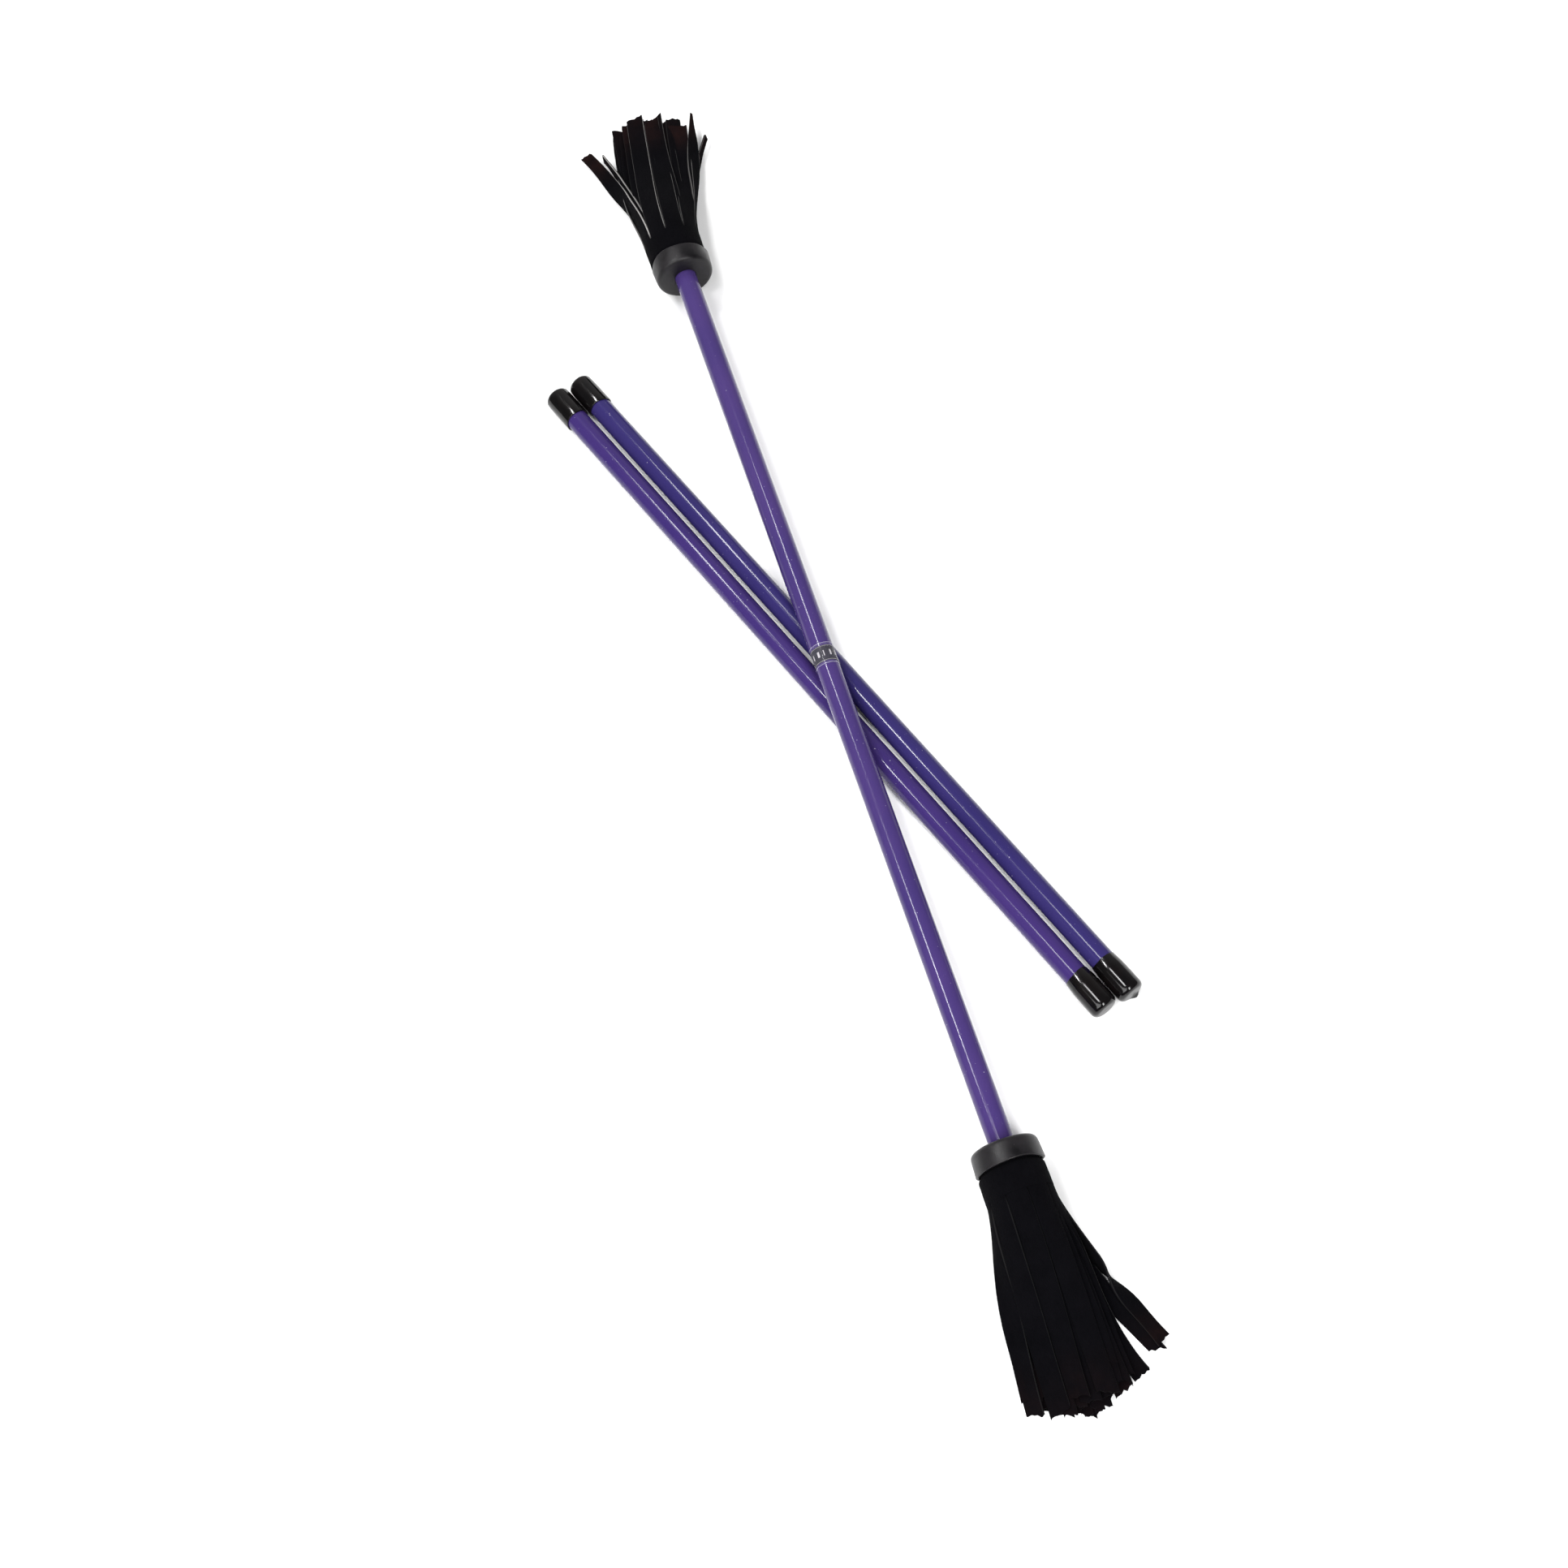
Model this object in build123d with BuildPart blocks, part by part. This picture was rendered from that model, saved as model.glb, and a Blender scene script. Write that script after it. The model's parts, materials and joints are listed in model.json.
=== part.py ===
"""Focus training sticks: a baton with a suede tassel at each end, lying across two hand sticks.

Millimetres, +Z up, table at z = 0. The baton runs along Y, and the two hand sticks lie side by
side under its middle, turned about Z. The pieces are drawn from the middle of the baton, and the
last step moves them all so that the origin is the bottom centre of the whole set's box.
"""

import os
from math import cos, radians, sin, tan

from build123d import *

# ---- Rods: a hardwood core in a vinyl sleeve, the same on the baton and the hand sticks ----
core_radius = 4.75
sleeve_wall = 1.3
slip_gap = 0.05  # radial room of a piece pushed over another
running_gap = 0.3  # between pieces that move apart

# ---- Hand sticks ----
hand_length = 458.0
hand_turn = 20.0  # degrees about Z, far end towards -X
cap_wall = 0.8
cap_end_wall = 1.4
cap_length = 21.4
cap_edge = 2.6  # radius round the closed end
cap_rim_edge = 0.3
hand_gap = 0.4  # between the two caps side by side
hand_pair_x = -3.5  # middle of the pair from the middle of the baton
hand_pair_y = 6.4
hand_stagger = 1.9  # how far the left stick lies ahead of its twin

# ---- Baton ----
cup_spacing = 516.0  # between the closed faces of the two cups
label_length = 9.0
label_thickness = 0.15
label_shift = 5.0  # from the middle of the baton towards the far end
film_length = 12.0
film_thickness = 0.12

# ---- Rubber cups ----
cup_side_wall = 0.95  # at the closed end
cup_flare = 0.75  # how far the lip stands out past the closed end
cup_length = 11.1
cup_end_wall = 2.0
cup_edge = 2.4  # radius round the closed end
cup_lip_edge = 0.7
cup_room = 0.15  # between the cup's bore and the binding

# ---- Suede tassels ----
roll_radius = 14.3
roll_out = 10.0  # uncut band that shows outside the cup
core_short = 0.2  # the core stops this far inside the roll's end
binding_width = 6.0
binding_thickness = 0.4
binding_inset = 1.2
tassel_swing = 20.0  # degrees each way
tassel_tip = 1.0  # radius of the blunt point that faces the roll
floor_gap = 0.3
tassel_length = {"near": 98.0, "far": 108.0}  # from the end of the uncut band
# Each section: share of the length, middle across, half width and height.
tassel_sections = {
    "near": [(0.45, 0.0, 24.0, 25.0), (1.0, 2.0, 34.0, 17.0)],
    "far": [(0.45, 2.0, 22.0, 25.0), (1.0, 5.0, 34.0, 17.0)],
}

# ---- Worked out ----
sleeve_bore = core_radius + slip_gap
sleeve_radius = sleeve_bore + sleeve_wall
cap_bore = sleeve_radius + slip_gap
cap_radius = cap_bore + cap_wall
label_bore = sleeve_radius + slip_gap / 2
film_bore = label_bore + label_thickness + slip_gap / 2
film_radius = film_bore + film_thickness
hand_height = cap_radius
baton_height = hand_height + sleeve_radius + running_gap + film_radius
cup_hole = sleeve_radius + slip_gap
roll_bore = core_radius + slip_gap
binding_bore = roll_radius + slip_gap
cup_bore = binding_bore + binding_thickness + cup_room
cup_radius = cup_bore + cup_side_wall
cup_lip_radius = cup_radius + cup_flare
roll_start = cup_spacing / 2 + cup_end_wall + slip_gap
roll_end = cup_spacing / 2 + cup_length + roll_out
end_signs = {"near": -1, "far": 1}

hand_along = Vector(-sin(radians(hand_turn)), cos(radians(hand_turn)), 0)
hand_across = Vector(cos(radians(hand_turn)), sin(radians(hand_turn)), 0)
hand_offset = hand_across * (cap_radius + hand_gap / 2) - hand_along * (hand_stagger / 2)
pair_middle = Vector(hand_pair_x, hand_pair_y, hand_height)
hand_middles = {"left": pair_middle - hand_offset, "right": pair_middle + hand_offset}
baton_middle = Vector(0, 0, baton_height)
baton_along = Vector(0, 1, 0)
finished = {}


def keep(name, part):
    """Label a finished piece and remember it for the export."""
    part.label = name
    finished[name] = part


def square_plane(point, direction):
    """The plane square to a rod at a point, with local X level."""
    return Plane(origin=point, x_dir=Vector(0, 0, 1).cross(direction), z_dir=direction)


def profile_plane(point, direction):
    """The plane of a profile to be revolved: local Y runs along the rod, local X is level."""
    level = direction.cross(Vector(0, 0, 1))
    return Plane(origin=point, x_dir=level, z_dir=level.cross(direction))


def make_tube(name, middle, direction, bore, radius, length):
    """A round tube centred on a point, or a rod where the bore is nought."""
    with BuildPart() as tube:
        with BuildSketch(square_plane(middle, direction)):
            Circle(radius)
            if bore:
                Circle(bore, mode=Mode.SUBTRACT)
        extrude(amount=length / 2, both=True)
    keep(name, tube.part)


def make_cap(name, closed_end, outward):
    """A dipped vinyl cap: a thin cup with a rounded closed end, revolved about the rod."""
    with BuildPart() as cap:
        with BuildSketch(profile_plane(closed_end, outward)) as profile:
            with BuildLine():
                Polyline(
                    (0, 0),
                    (cap_radius, 0),
                    (cap_radius, -cap_length),
                    (cap_bore, -cap_length),
                    (cap_bore, -cap_end_wall),
                    (0, -cap_end_wall),
                    close=True,
                )
            make_face()
            fillet(profile.vertices().sort_by_distance((cap_radius, 0))[0], cap_edge)
            fillet(profile.vertices().sort_by_distance((cap_radius, -cap_length))[0], cap_rim_edge)
        revolve(axis=Axis(closed_end, outward))
    keep(name, cap.part)


def make_cup(name, closed_face, outward):
    """A rubber cup: a hole for the sleeve in its closed end, and a lip that flares a little."""
    with BuildPart() as cup:
        with BuildSketch(profile_plane(closed_face, outward)) as profile:
            with BuildLine():
                Polyline(
                    (cup_hole, 0),
                    (cup_radius, 0),
                    (cup_lip_radius, cup_length),
                    (cup_bore, cup_length),
                    (cup_bore, cup_end_wall),
                    (cup_hole, cup_end_wall),
                    close=True,
                )
            make_face()
            fillet(profile.vertices().sort_by_distance((cup_radius, 0))[0], cup_edge)
            fillet(profile.vertices().sort_by_distance((cup_lip_radius, cup_length))[0], cup_lip_edge)
            fillet(profile.vertices().sort_by_distance((cup_bore, cup_length))[0], cup_lip_edge)
        revolve(axis=Axis(closed_face, outward))
    keep(name, cup.part)


def make_strands(name, end, root, outward):
    """The cut strands as one closed form: a blunt cone at the root, then a fan that flattens."""
    length = tassel_length[end]
    cone_rise = tan(radians(tassel_swing))
    with BuildPart() as strands:
        for radius in (tassel_tip, roll_radius):
            out = running_gap + radius * cone_rise
            with BuildSketch(square_plane(root + outward * out, baton_along)):
                Circle(radius)
        for share, across, half_width, height in tassel_sections[end]:
            lowered = Vector(across, 0, floor_gap + height / 2 - root.Z)
            with BuildSketch(square_plane(root + outward * (length * share) + lowered, baton_along)):
                Ellipse(half_width, height / 2)
        loft(ruled=True)
    keep(name, strands.part)


# ---- Hand sticks: core, sleeve and a dipped cap on each end ----
hand_core_length = hand_length - 2 * (cap_end_wall + slip_gap)
for side, middle in hand_middles.items():
    stick = side + "_hand_stick"
    make_tube(stick + "_core", middle, hand_along, 0, core_radius, hand_core_length)
    make_tube(stick + "_sleeve", middle, hand_along, sleeve_bore, sleeve_radius, hand_core_length)
    for end, sign in end_signs.items():
        outward = hand_along * sign
        make_cap(stick + "_" + end + "_cap", middle + outward * (hand_length / 2), outward)

# ---- Baton: core, sleeve, label and its clear film ----
make_tube("baton_core", baton_middle, baton_along, 0, core_radius, 2 * (roll_end - core_short))
sleeve_length = cup_spacing + 2 * cup_end_wall
make_tube("baton_sleeve", baton_middle, baton_along, sleeve_bore, sleeve_radius, sleeve_length)
label_middle = baton_middle + baton_along * label_shift
label_radius = label_bore + label_thickness
make_tube("label_band", label_middle, baton_along, label_bore, label_radius, label_length)
make_tube("label_film", label_middle, baton_along, film_bore, film_radius, film_length)

# ---- Each end of the baton: cup, rolled suede, its binding and the cut strands ----
for end, sign in end_signs.items():
    outward = baton_along * sign
    roll_length = roll_end - roll_start
    roll_middle = baton_middle + outward * (roll_start + roll_length / 2)
    binding_middle = baton_middle + outward * (roll_start + binding_inset + binding_width / 2)
    binding_radius = binding_bore + binding_thickness
    make_cup(end + "_cup", baton_middle + outward * (cup_spacing / 2), outward)
    make_tube(end + "_roll", roll_middle, baton_along, roll_bore, roll_radius, roll_length)
    make_tube(
        end + "_binding", binding_middle, baton_along, binding_bore, binding_radius, binding_width
    )
    make_strands(end + "_strands", end, baton_middle + outward * roll_end, outward)

# ---- Put the origin at the bottom centre of the whole set, and write the files ----
boxes = [part.bounding_box() for part in finished.values()]
set_low = Vector(min(b.min.X for b in boxes), min(b.min.Y for b in boxes), min(b.min.Z for b in boxes))
set_high = Vector(max(b.max.X for b in boxes), max(b.max.Y for b in boxes), max(b.max.Z for b in boxes))
set_middle = (set_low + set_high) / 2
set_origin = Vector(set_middle.X, set_middle.Y, set_low.Z)
os.makedirs("parts", exist_ok=True)
for name, part in finished.items():
    placed = part.moved(Location(-set_origin))
    placed.label = name
    export_step(placed, "parts/" + name + ".step")

print("pieces", len(finished), "size", set_high - set_low, "origin from baton middle", set_origin)
for side, middle in hand_middles.items():
    for end, sign in end_signs.items():
        face = middle + hand_along * (sign * hand_length / 2) - set_origin
        print(side, end, "cap face", face, "facing", hand_along * sign)
for end, sign in end_signs.items():
    print(end, "swing centre", baton_middle + baton_along * (sign * roll_end) - set_origin)
print("baton middle", baton_middle - set_origin, "hand sticks part along", hand_across)
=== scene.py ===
# %% [markdown]
# Focus training sticks. A baton with a suede tassel at each end lies across two shorter hand
# sticks. The CAD model is the fixed frame: it says where every rod, cup and cap stands and what
# moves. This lesson gives each piece its real surface and finish around that frame.

import json
import math

import bpy
import numpy as np
from mathutils import Matrix, Vector


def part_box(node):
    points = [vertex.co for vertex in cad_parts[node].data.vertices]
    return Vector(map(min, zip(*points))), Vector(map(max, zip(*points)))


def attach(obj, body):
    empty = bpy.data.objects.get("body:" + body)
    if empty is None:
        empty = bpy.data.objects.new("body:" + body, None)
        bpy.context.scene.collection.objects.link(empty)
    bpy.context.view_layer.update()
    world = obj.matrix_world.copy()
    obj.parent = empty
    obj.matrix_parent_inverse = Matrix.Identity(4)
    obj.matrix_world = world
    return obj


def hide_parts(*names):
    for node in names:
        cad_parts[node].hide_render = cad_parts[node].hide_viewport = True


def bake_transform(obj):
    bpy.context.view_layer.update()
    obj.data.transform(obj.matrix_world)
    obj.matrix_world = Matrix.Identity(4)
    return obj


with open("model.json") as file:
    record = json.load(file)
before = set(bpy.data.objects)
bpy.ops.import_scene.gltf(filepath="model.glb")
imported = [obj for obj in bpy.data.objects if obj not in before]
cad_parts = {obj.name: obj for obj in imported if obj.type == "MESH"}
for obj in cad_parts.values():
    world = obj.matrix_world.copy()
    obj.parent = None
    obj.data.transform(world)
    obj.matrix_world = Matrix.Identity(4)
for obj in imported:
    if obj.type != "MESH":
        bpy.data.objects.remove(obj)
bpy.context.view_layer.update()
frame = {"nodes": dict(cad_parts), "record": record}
MM = 0.001

# %% [markdown]
# Every rod, cup and cap is round about a line, so each place in this file comes from a line: a
# point on the axis and the direction along it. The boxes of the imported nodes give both, and the
# record's mounts give the flat ends of the four caps.

# %% Where the pieces stand
baton_low, baton_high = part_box("baton_sleeve")
AXIS_X = (baton_low.x + baton_high.x) / 2
AXIS_Z = (baton_low.z + baton_high.z) / 2
ROD_RADIUS = (baton_high.z - baton_low.z) / 2
END_SIGN = {"near": -1, "far": 1}
cup_boxes = {end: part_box(end + "_cup") for end in END_SIGN}
LIP_Y = {"near": cup_boxes["near"][0].y, "far": cup_boxes["far"][1].y}
CUP_LENGTH = cup_boxes["far"][1].y - cup_boxes["far"][0].y
cap_mounts = {m["name"]: m for m in frame["record"]["mounts"] if m["kind"] == "flat_face"}
print("baton axis", round(AXIS_X, 5), round(AXIS_Z, 5), "lips at", LIP_Y, "caps", len(cap_mounts))


# %% [markdown]
# A surface here is a grid of points worked out by a formula. Two helpers turn grids into meshes:
# one lists the quads between neighbouring rows and columns, and one writes points and quads into
# Blender in a single call. Two more serve the cups and caps: one turns a profile about a line, and
# one rounds the profile's corners.

# %% Helpers for grids
def grid_quads(rows, columns, closed_rows=False, closed_columns=False):
    """Quads of a rows by columns grid of points that are numbered row by row from nought."""
    r = np.arange(rows if closed_rows else rows - 1)[:, None]
    c = np.arange(columns if closed_columns else columns - 1)[None, :]
    r_next, c_next = (r + 1) % rows, (c + 1) % columns
    quads = [r * columns + c, r * columns + c_next, r_next * columns + c_next, r_next * columns + c]
    return np.stack([np.broadcast_to(q, (r.size, c.size)) for q in quads], -1).reshape(-1, 4)


def smooth_step(x):
    """Rises from 0 to 1 as x goes from 0 to 1, level at both ends: 3 x squared less 2 x cubed."""
    x = np.clip(x, 0, 1)
    return x * x * (3 - 2 * x)


def make_piece(name, points, quads, body, cad_nodes, attributes=None):
    """Puts points and quads into a mesh object that stands for CAD nodes and rides on a body.

    A piece given no body is attached to none. A piece that bends between two bodies gets no body
    here. Attributes hold a value for each point.
    """
    mesh = bpy.data.meshes.new(name)
    mesh.from_pydata(np.asarray(points, float), [], np.asarray(quads).tolist())
    mesh.polygons.foreach_set("use_smooth", np.ones(len(mesh.polygons), bool))
    for key, values in (attributes or {}).items():
        layer = mesh.attributes.new(key, "FLOAT", "POINT")
        layer.data.foreach_set("value", np.asarray(values, np.float32).ravel())
    mesh.update()
    piece = bpy.data.objects.new(name, mesh)
    bpy.context.scene.collection.objects.link(piece)
    if body:
        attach(piece, body)
    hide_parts(*cad_nodes)
    print(name, "points", len(mesh.vertices), "faces", len(mesh.polygons))
    return piece


def turned_surface(profile, start, direction, turns, ripple):
    """Revolves a profile about a line, as a grid of profile rows by turns.

    A profile row is (distance along the line, radius). Each point stands at start, plus the
    distance along the direction, plus the radius times (level cos angle + upright sin angle).
    Before that, the ripple function moves the distances and radii, knowing the angles.
    """
    direction = np.asarray(direction, float)
    level = np.cross(direction, (0.0, 0.0, 1.0))
    upright = np.cross(level, direction)
    angle = np.linspace(0, 2 * np.pi, turns, endpoint=False)[None, :]
    along = np.repeat(profile[:, :1], turns, 1)
    radius = np.repeat(profile[:, 1:2], turns, 1)
    along, radius = ripple(along, radius, angle)
    spokes = np.cos(angle)[..., None] * level + np.sin(angle)[..., None] * upright
    return np.asarray(start) + along[..., None] * direction + radius[..., None] * spokes


def rounded_profile(corners, radii, arc_steps=7):
    """Joins corner points with straight runs, and rounds each corner by its own radius.

    The arc touches the two runs at radius / tan(half the inner angle) from the corner, and its
    centre lies inside the corner at radius / sin(half the inner angle). Its points are those of
    the quadratic curve between its ends, each moved along its spoke onto the circle.
    """
    corners, rows = np.asarray(corners, float), []
    for i, (corner, radius) in enumerate(zip(corners, radii)):
        if radius == 0:
            rows.append(corner[None])
            continue
        back = corners[i - 1] - corner
        ahead = corners[(i + 1) % len(corners)] - corner
        back, ahead = back / np.linalg.norm(back), ahead / np.linalg.norm(ahead)
        half = np.arccos(np.clip(back @ ahead, -1, 1)) / 2
        reach = radius / np.tan(half)
        t = np.linspace(0, 1, arc_steps)[:, None]
        curve = (1 - t) ** 2 * (back * reach) + t**2 * (ahead * reach)
        centre = (back + ahead) / np.linalg.norm(back + ahead) * (radius / np.sin(half))
        spoke = curve - centre
        rows.append(corner + centre + spoke / np.linalg.norm(spoke, axis=1)[:, None] * radius)
    return np.concatenate(rows)


print("helpers ready")

# %% [markdown]
# Materials share a few effects: soft unevenness in a moulded or extruded gloss, specks of dust,
# and cloudy changes of tone. Each effect is a node group that reads Object coordinates and gives
# back one value, so every finish can mix it in with its own strength. The Principled shader stays
# in the material, and values that don't vary are set on its sockets.


# %% Shader group helpers
def new_group(name, inputs, output):
    """Starts a node group with float inputs and one output; returns the group and its two ends."""
    group = bpy.data.node_groups.new(name, "ShaderNodeTree")
    for key, value in inputs.items():
        socket = group.interface.new_socket(key, in_out="INPUT", socket_type="NodeSocketFloat")
        socket.default_value = value
    group.interface.new_socket(output, in_out="OUTPUT", socket_type="NodeSocketFloat")
    return group, group.nodes.new("NodeGroupInput"), group.nodes.new("NodeGroupOutput")


def add_node(tree, kind, settings=None, **sockets):
    """Adds a node, sets its properties, and sets or links its inputs.

    An input is given by its name, or by its number where names repeat: i0 is the first one.
    """
    node = tree.nodes.new(kind)
    for key, value in (settings or {}).items():
        setattr(node, key, value)
    for key, value in sockets.items():
        socket = node.inputs[int(key[1:])] if key[0] == "i" and key[1:].isdigit() else node.inputs[key]
        if isinstance(value, bpy.types.NodeSocket):
            tree.links.new(value, socket)
        else:
            socket.default_value = value
    return node


def math_node(tree, operation, first, second=0.0, third=0.0):
    """One arithmetic node; returns its result socket."""
    node = add_node(tree, "ShaderNodeMath", {"operation": operation}, i0=first, i1=second, i2=third)
    return node.outputs[0]


def noise(tree, scale, detail=2.0, roughness=0.5, stretch=(1, 1, 1)):
    """Noise over Object coordinates scaled by a factor on each axis; returns its value."""
    place = add_node(tree, "ShaderNodeTexCoord").outputs["Object"]
    mapping = add_node(tree, "ShaderNodeMapping", Vector=place, Scale=stretch)
    settings = {"Scale": scale, "Detail": detail, "Roughness": roughness}
    node = add_node(tree, "ShaderNodeTexNoise", Vector=mapping.outputs[0], **settings)
    return node.outputs["Fac"]


print("shader helpers ready")


# %% The shared effects
def cloud_group():
    """Cloudy tone from 0 to 1: noise less a half, times the contrast, plus a half."""
    group, start, end = new_group("cloudy_tone", {"Size": 60.0, "Contrast": 2.0}, "Mask")
    value = noise(group, start.outputs["Size"], 3.0)
    from_middle = math_node(group, "SUBTRACT", value, 0.5)
    spread = math_node(group, "MULTIPLY", from_middle, start.outputs["Contrast"])
    add = add_node(group, "ShaderNodeMath", {"operation": "ADD", "use_clamp": True}, i0=spread, i1=0.5)
    group.links.new(add.outputs[0], end.inputs[0])
    return group


def speck_group():
    """Dust and small scuffs: only the highest peaks of a fine noise show, and only in patches."""
    group, start, end = new_group("dust_specks", {"Size": 900.0, "Amount": 0.03}, "Mask")
    fine = noise(group, start.outputs["Size"], 2.0)
    patches = noise(group, 45.0, 1.0)
    threshold = math_node(group, "SUBTRACT", 0.78, start.outputs["Amount"])
    peak = math_node(group, "SUBTRACT", fine, threshold)
    shown = math_node(group, "MULTIPLY", peak, math_node(group, "MULTIPLY", patches, 22.0))
    clamp = add_node(group, "ShaderNodeClamp", Value=shown)
    group.links.new(clamp.outputs[0], end.inputs[0])
    return group


def unevenness_group():
    """Height of a slightly uneven gloss: a long soft wave plus the grain's share of a fine noise."""
    group, start, end = new_group("soft_unevenness", {"Size": 90.0, "Grain": 0.15}, "Height")
    wave = noise(group, start.outputs["Size"], 1.0)
    grain = noise(group, 1400.0, 2.0)
    mixed = math_node(group, "MULTIPLY_ADD", grain, start.outputs["Grain"], wave)
    group.links.new(mixed, end.inputs[0])
    return group


CLOUDS, SPECKS, UNEVEN = cloud_group(), speck_group(), unevenness_group()


def place_group(tree, group, **values):
    """Places a shared group in a material with its own values; returns its output socket."""
    node = tree.nodes.new("ShaderNodeGroup")
    node.node_tree = group
    for key, value in values.items():
        node.inputs[key].default_value = value
    return node.outputs[0]


def start_material(name, roughness, **shader):
    """A material with a Principled shader whose constant values sit on its own sockets."""
    material = bpy.data.materials.new(name)
    material.use_nodes = True
    tree = material.node_tree
    principled = tree.nodes["Principled BSDF"]
    principled.inputs["Roughness"].default_value = roughness
    for key, value in shader.items():
        principled.inputs[key.replace("_", " ")].default_value = value
    return material, tree, principled


def mix_colour(tree, factor, first, second):
    """Mixes two colours by a factor; each may be a colour or a socket."""
    node = add_node(tree, "ShaderNodeMix", {"data_type": "RGBA"}, i0=factor, i6=first, i7=second)
    return node.outputs[2]


def add_bump(tree, principled, height, distance, strength):
    """Feeds a height through a Bump node into the shader's normal."""
    bump = add_node(tree, "ShaderNodeBump", Height=height, Distance=distance, Strength=strength)
    tree.links.new(bump.outputs[0], principled.inputs["Normal"])


print("groups", [g.name for g in bpy.data.node_groups])

# %% [markdown]
# The sleeves are extruded vinyl pushed over a dowel: glossy, a little uneven, with tone that
# drifts along the rod and fine dust. Their shape is a plain tube, so the CAD nodes keep it. The
# three sticks come from different lengths of tube: the baton's is the palest, and the right hand
# stick's is darker and bluer than its twin's. One function makes all three, each in its colours.

# %% Sleeve vinyl
def sleeve_vinyl(name, tone, deep_tone):
    """Glossy vinyl between two tones, with dust and a soft unevenness in its gloss."""
    material, tree, shader = start_material(name, 0.2, Specular_IOR_Level=0.2)
    clouds = place_group(tree, CLOUDS, Size=24.0, Contrast=2.4)
    specks = place_group(tree, SPECKS, Size=820.0, Amount=0.05)
    body = mix_colour(tree, clouds, tone, deep_tone)
    dusty = mix_colour(tree, specks, body, (0.42, 0.38, 0.5, 1))
    tree.links.new(dusty, shader.inputs["Base Color"])
    rough = math_node(tree, "MULTIPLY_ADD", clouds, 0.05, 0.1)
    tree.links.new(math_node(tree, "MULTIPLY_ADD", specks, 0.4, rough), shader.inputs["Roughness"])
    add_bump(tree, shader, place_group(tree, UNEVEN, Size=40.0, Grain=0.01), 0.0002, 0.05)
    return material


pale_sleeve = sleeve_vinyl("purple_vinyl", (0.052, 0.030, 0.129, 1), (0.039, 0.024, 0.114, 1))
warm_sleeve = sleeve_vinyl("purple_vinyl_warm", (0.040, 0.022, 0.115, 1), (0.030, 0.017, 0.102, 1))
cool_sleeve = sleeve_vinyl("purple_vinyl_cool", (0.027, 0.020, 0.101, 1), (0.0215, 0.016, 0.089, 1))
print("sleeve vinyls", [m.name for m in (pale_sleeve, warm_sleeve, cool_sleeve)])

# %% [markdown]
# Three black finishes differ mainly in gloss. Dipped vinyl caps are wet-looking, the moulded cups
# are satin with cloudy handling marks, and the cloth tape hidden in the cups is matt and woven.
# The dowel inside each sleeve is pale wood. It is never seen on the whole set, but a set that is
# taken apart should show it.

# %% Cap vinyl, cup rubber, tape and wood
def cap_vinyl():
    """Dipped vinyl: near-black and glossy, with a soft wave left by the dip."""
    material, tree, shader = start_material("cap_vinyl", 0.12, Specular_IOR_Level=0.33)
    clouds = place_group(tree, CLOUDS, Size=110.0, Contrast=2.0)
    specks = place_group(tree, SPECKS, Size=1100.0, Amount=0.02)
    body = mix_colour(tree, clouds, (0.0016, 0.0015, 0.0018, 1), (0.0042, 0.003, 0.003, 1))
    dusty = mix_colour(tree, specks, body, (0.06, 0.055, 0.055, 1))
    tree.links.new(dusty, shader.inputs["Base Color"])
    tree.links.new(math_node(tree, "MULTIPLY_ADD", clouds, 0.06, 0.1), shader.inputs["Roughness"])
    add_bump(tree, shader, place_group(tree, UNEVEN, Size=100.0, Grain=0.0), 0.0001, 0.06)
    return material


def cup_rubber():
    """Moulded rubber: dark grey satin with paler, drier clouds and fine grain."""
    material, tree, shader = start_material("cup_rubber", 0.45, Specular_IOR_Level=0.27)
    clouds = place_group(tree, CLOUDS, Size=130.0, Contrast=2.6)
    specks = place_group(tree, SPECKS, Size=700.0, Amount=0.04)
    body = mix_colour(tree, clouds, (0.003, 0.0027, 0.0034, 1), (0.0085, 0.0072, 0.0088, 1))
    dusty = mix_colour(tree, specks, body, (0.1, 0.09, 0.1, 1))
    tree.links.new(dusty, shader.inputs["Base Color"])
    tree.links.new(math_node(tree, "MULTIPLY_ADD", clouds, 0.2, 0.34), shader.inputs["Roughness"])
    add_bump(tree, shader, place_group(tree, UNEVEN, Size=160.0, Grain=0.35), 0.0003, 0.35)
    return material


def binding_tape():
    """Cloth tape: a plain weave, as the product of two crossed waves."""
    material, tree, shader = start_material("binding_tape", 0.8)
    threads = []
    for axis in ((1, 0, 0), (0, 1, 0)):
        turned = add_node(
            tree,
            "ShaderNodeVectorRotate",
            {"rotation_type": "AXIS_ANGLE"},
            Vector=add_node(tree, "ShaderNodeTexCoord").outputs["Object"],
            Axis=axis,
            Angle=0.6,
        )
        wave = add_node(tree, "ShaderNodeTexWave", Vector=turned.outputs[0], Scale=500.0)
        threads.append(wave.outputs["Fac"])
    weave = math_node(tree, "MULTIPLY", threads[0], threads[1])
    shade = mix_colour(tree, weave, (0.006, 0.006, 0.007, 1), (0.02, 0.02, 0.022, 1))
    tree.links.new(shade, shader.inputs["Base Color"])
    add_bump(tree, shader, weave, 0.0002, 0.5)
    return material


def hardwood():
    """Dowel wood: pale, with growth lines drawn out along Y, the way that the baton lies."""
    material, tree, shader = start_material("hardwood", 0.6)
    lines = noise(tree, 60.0, 4.0, 0.6, (14, 1, 14))
    body = mix_colour(tree, lines, (0.42, 0.26, 0.13, 1), (0.62, 0.44, 0.25, 1))
    tree.links.new(body, shader.inputs["Base Color"])
    add_bump(tree, shader, lines, 0.0002, 0.3)
    return material


cap_finish, cup_finish, tape_finish, wood_finish = cap_vinyl(), cup_rubber(), binding_tape(), hardwood()
print("materials", [m.name for m in bpy.data.materials])

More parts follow.
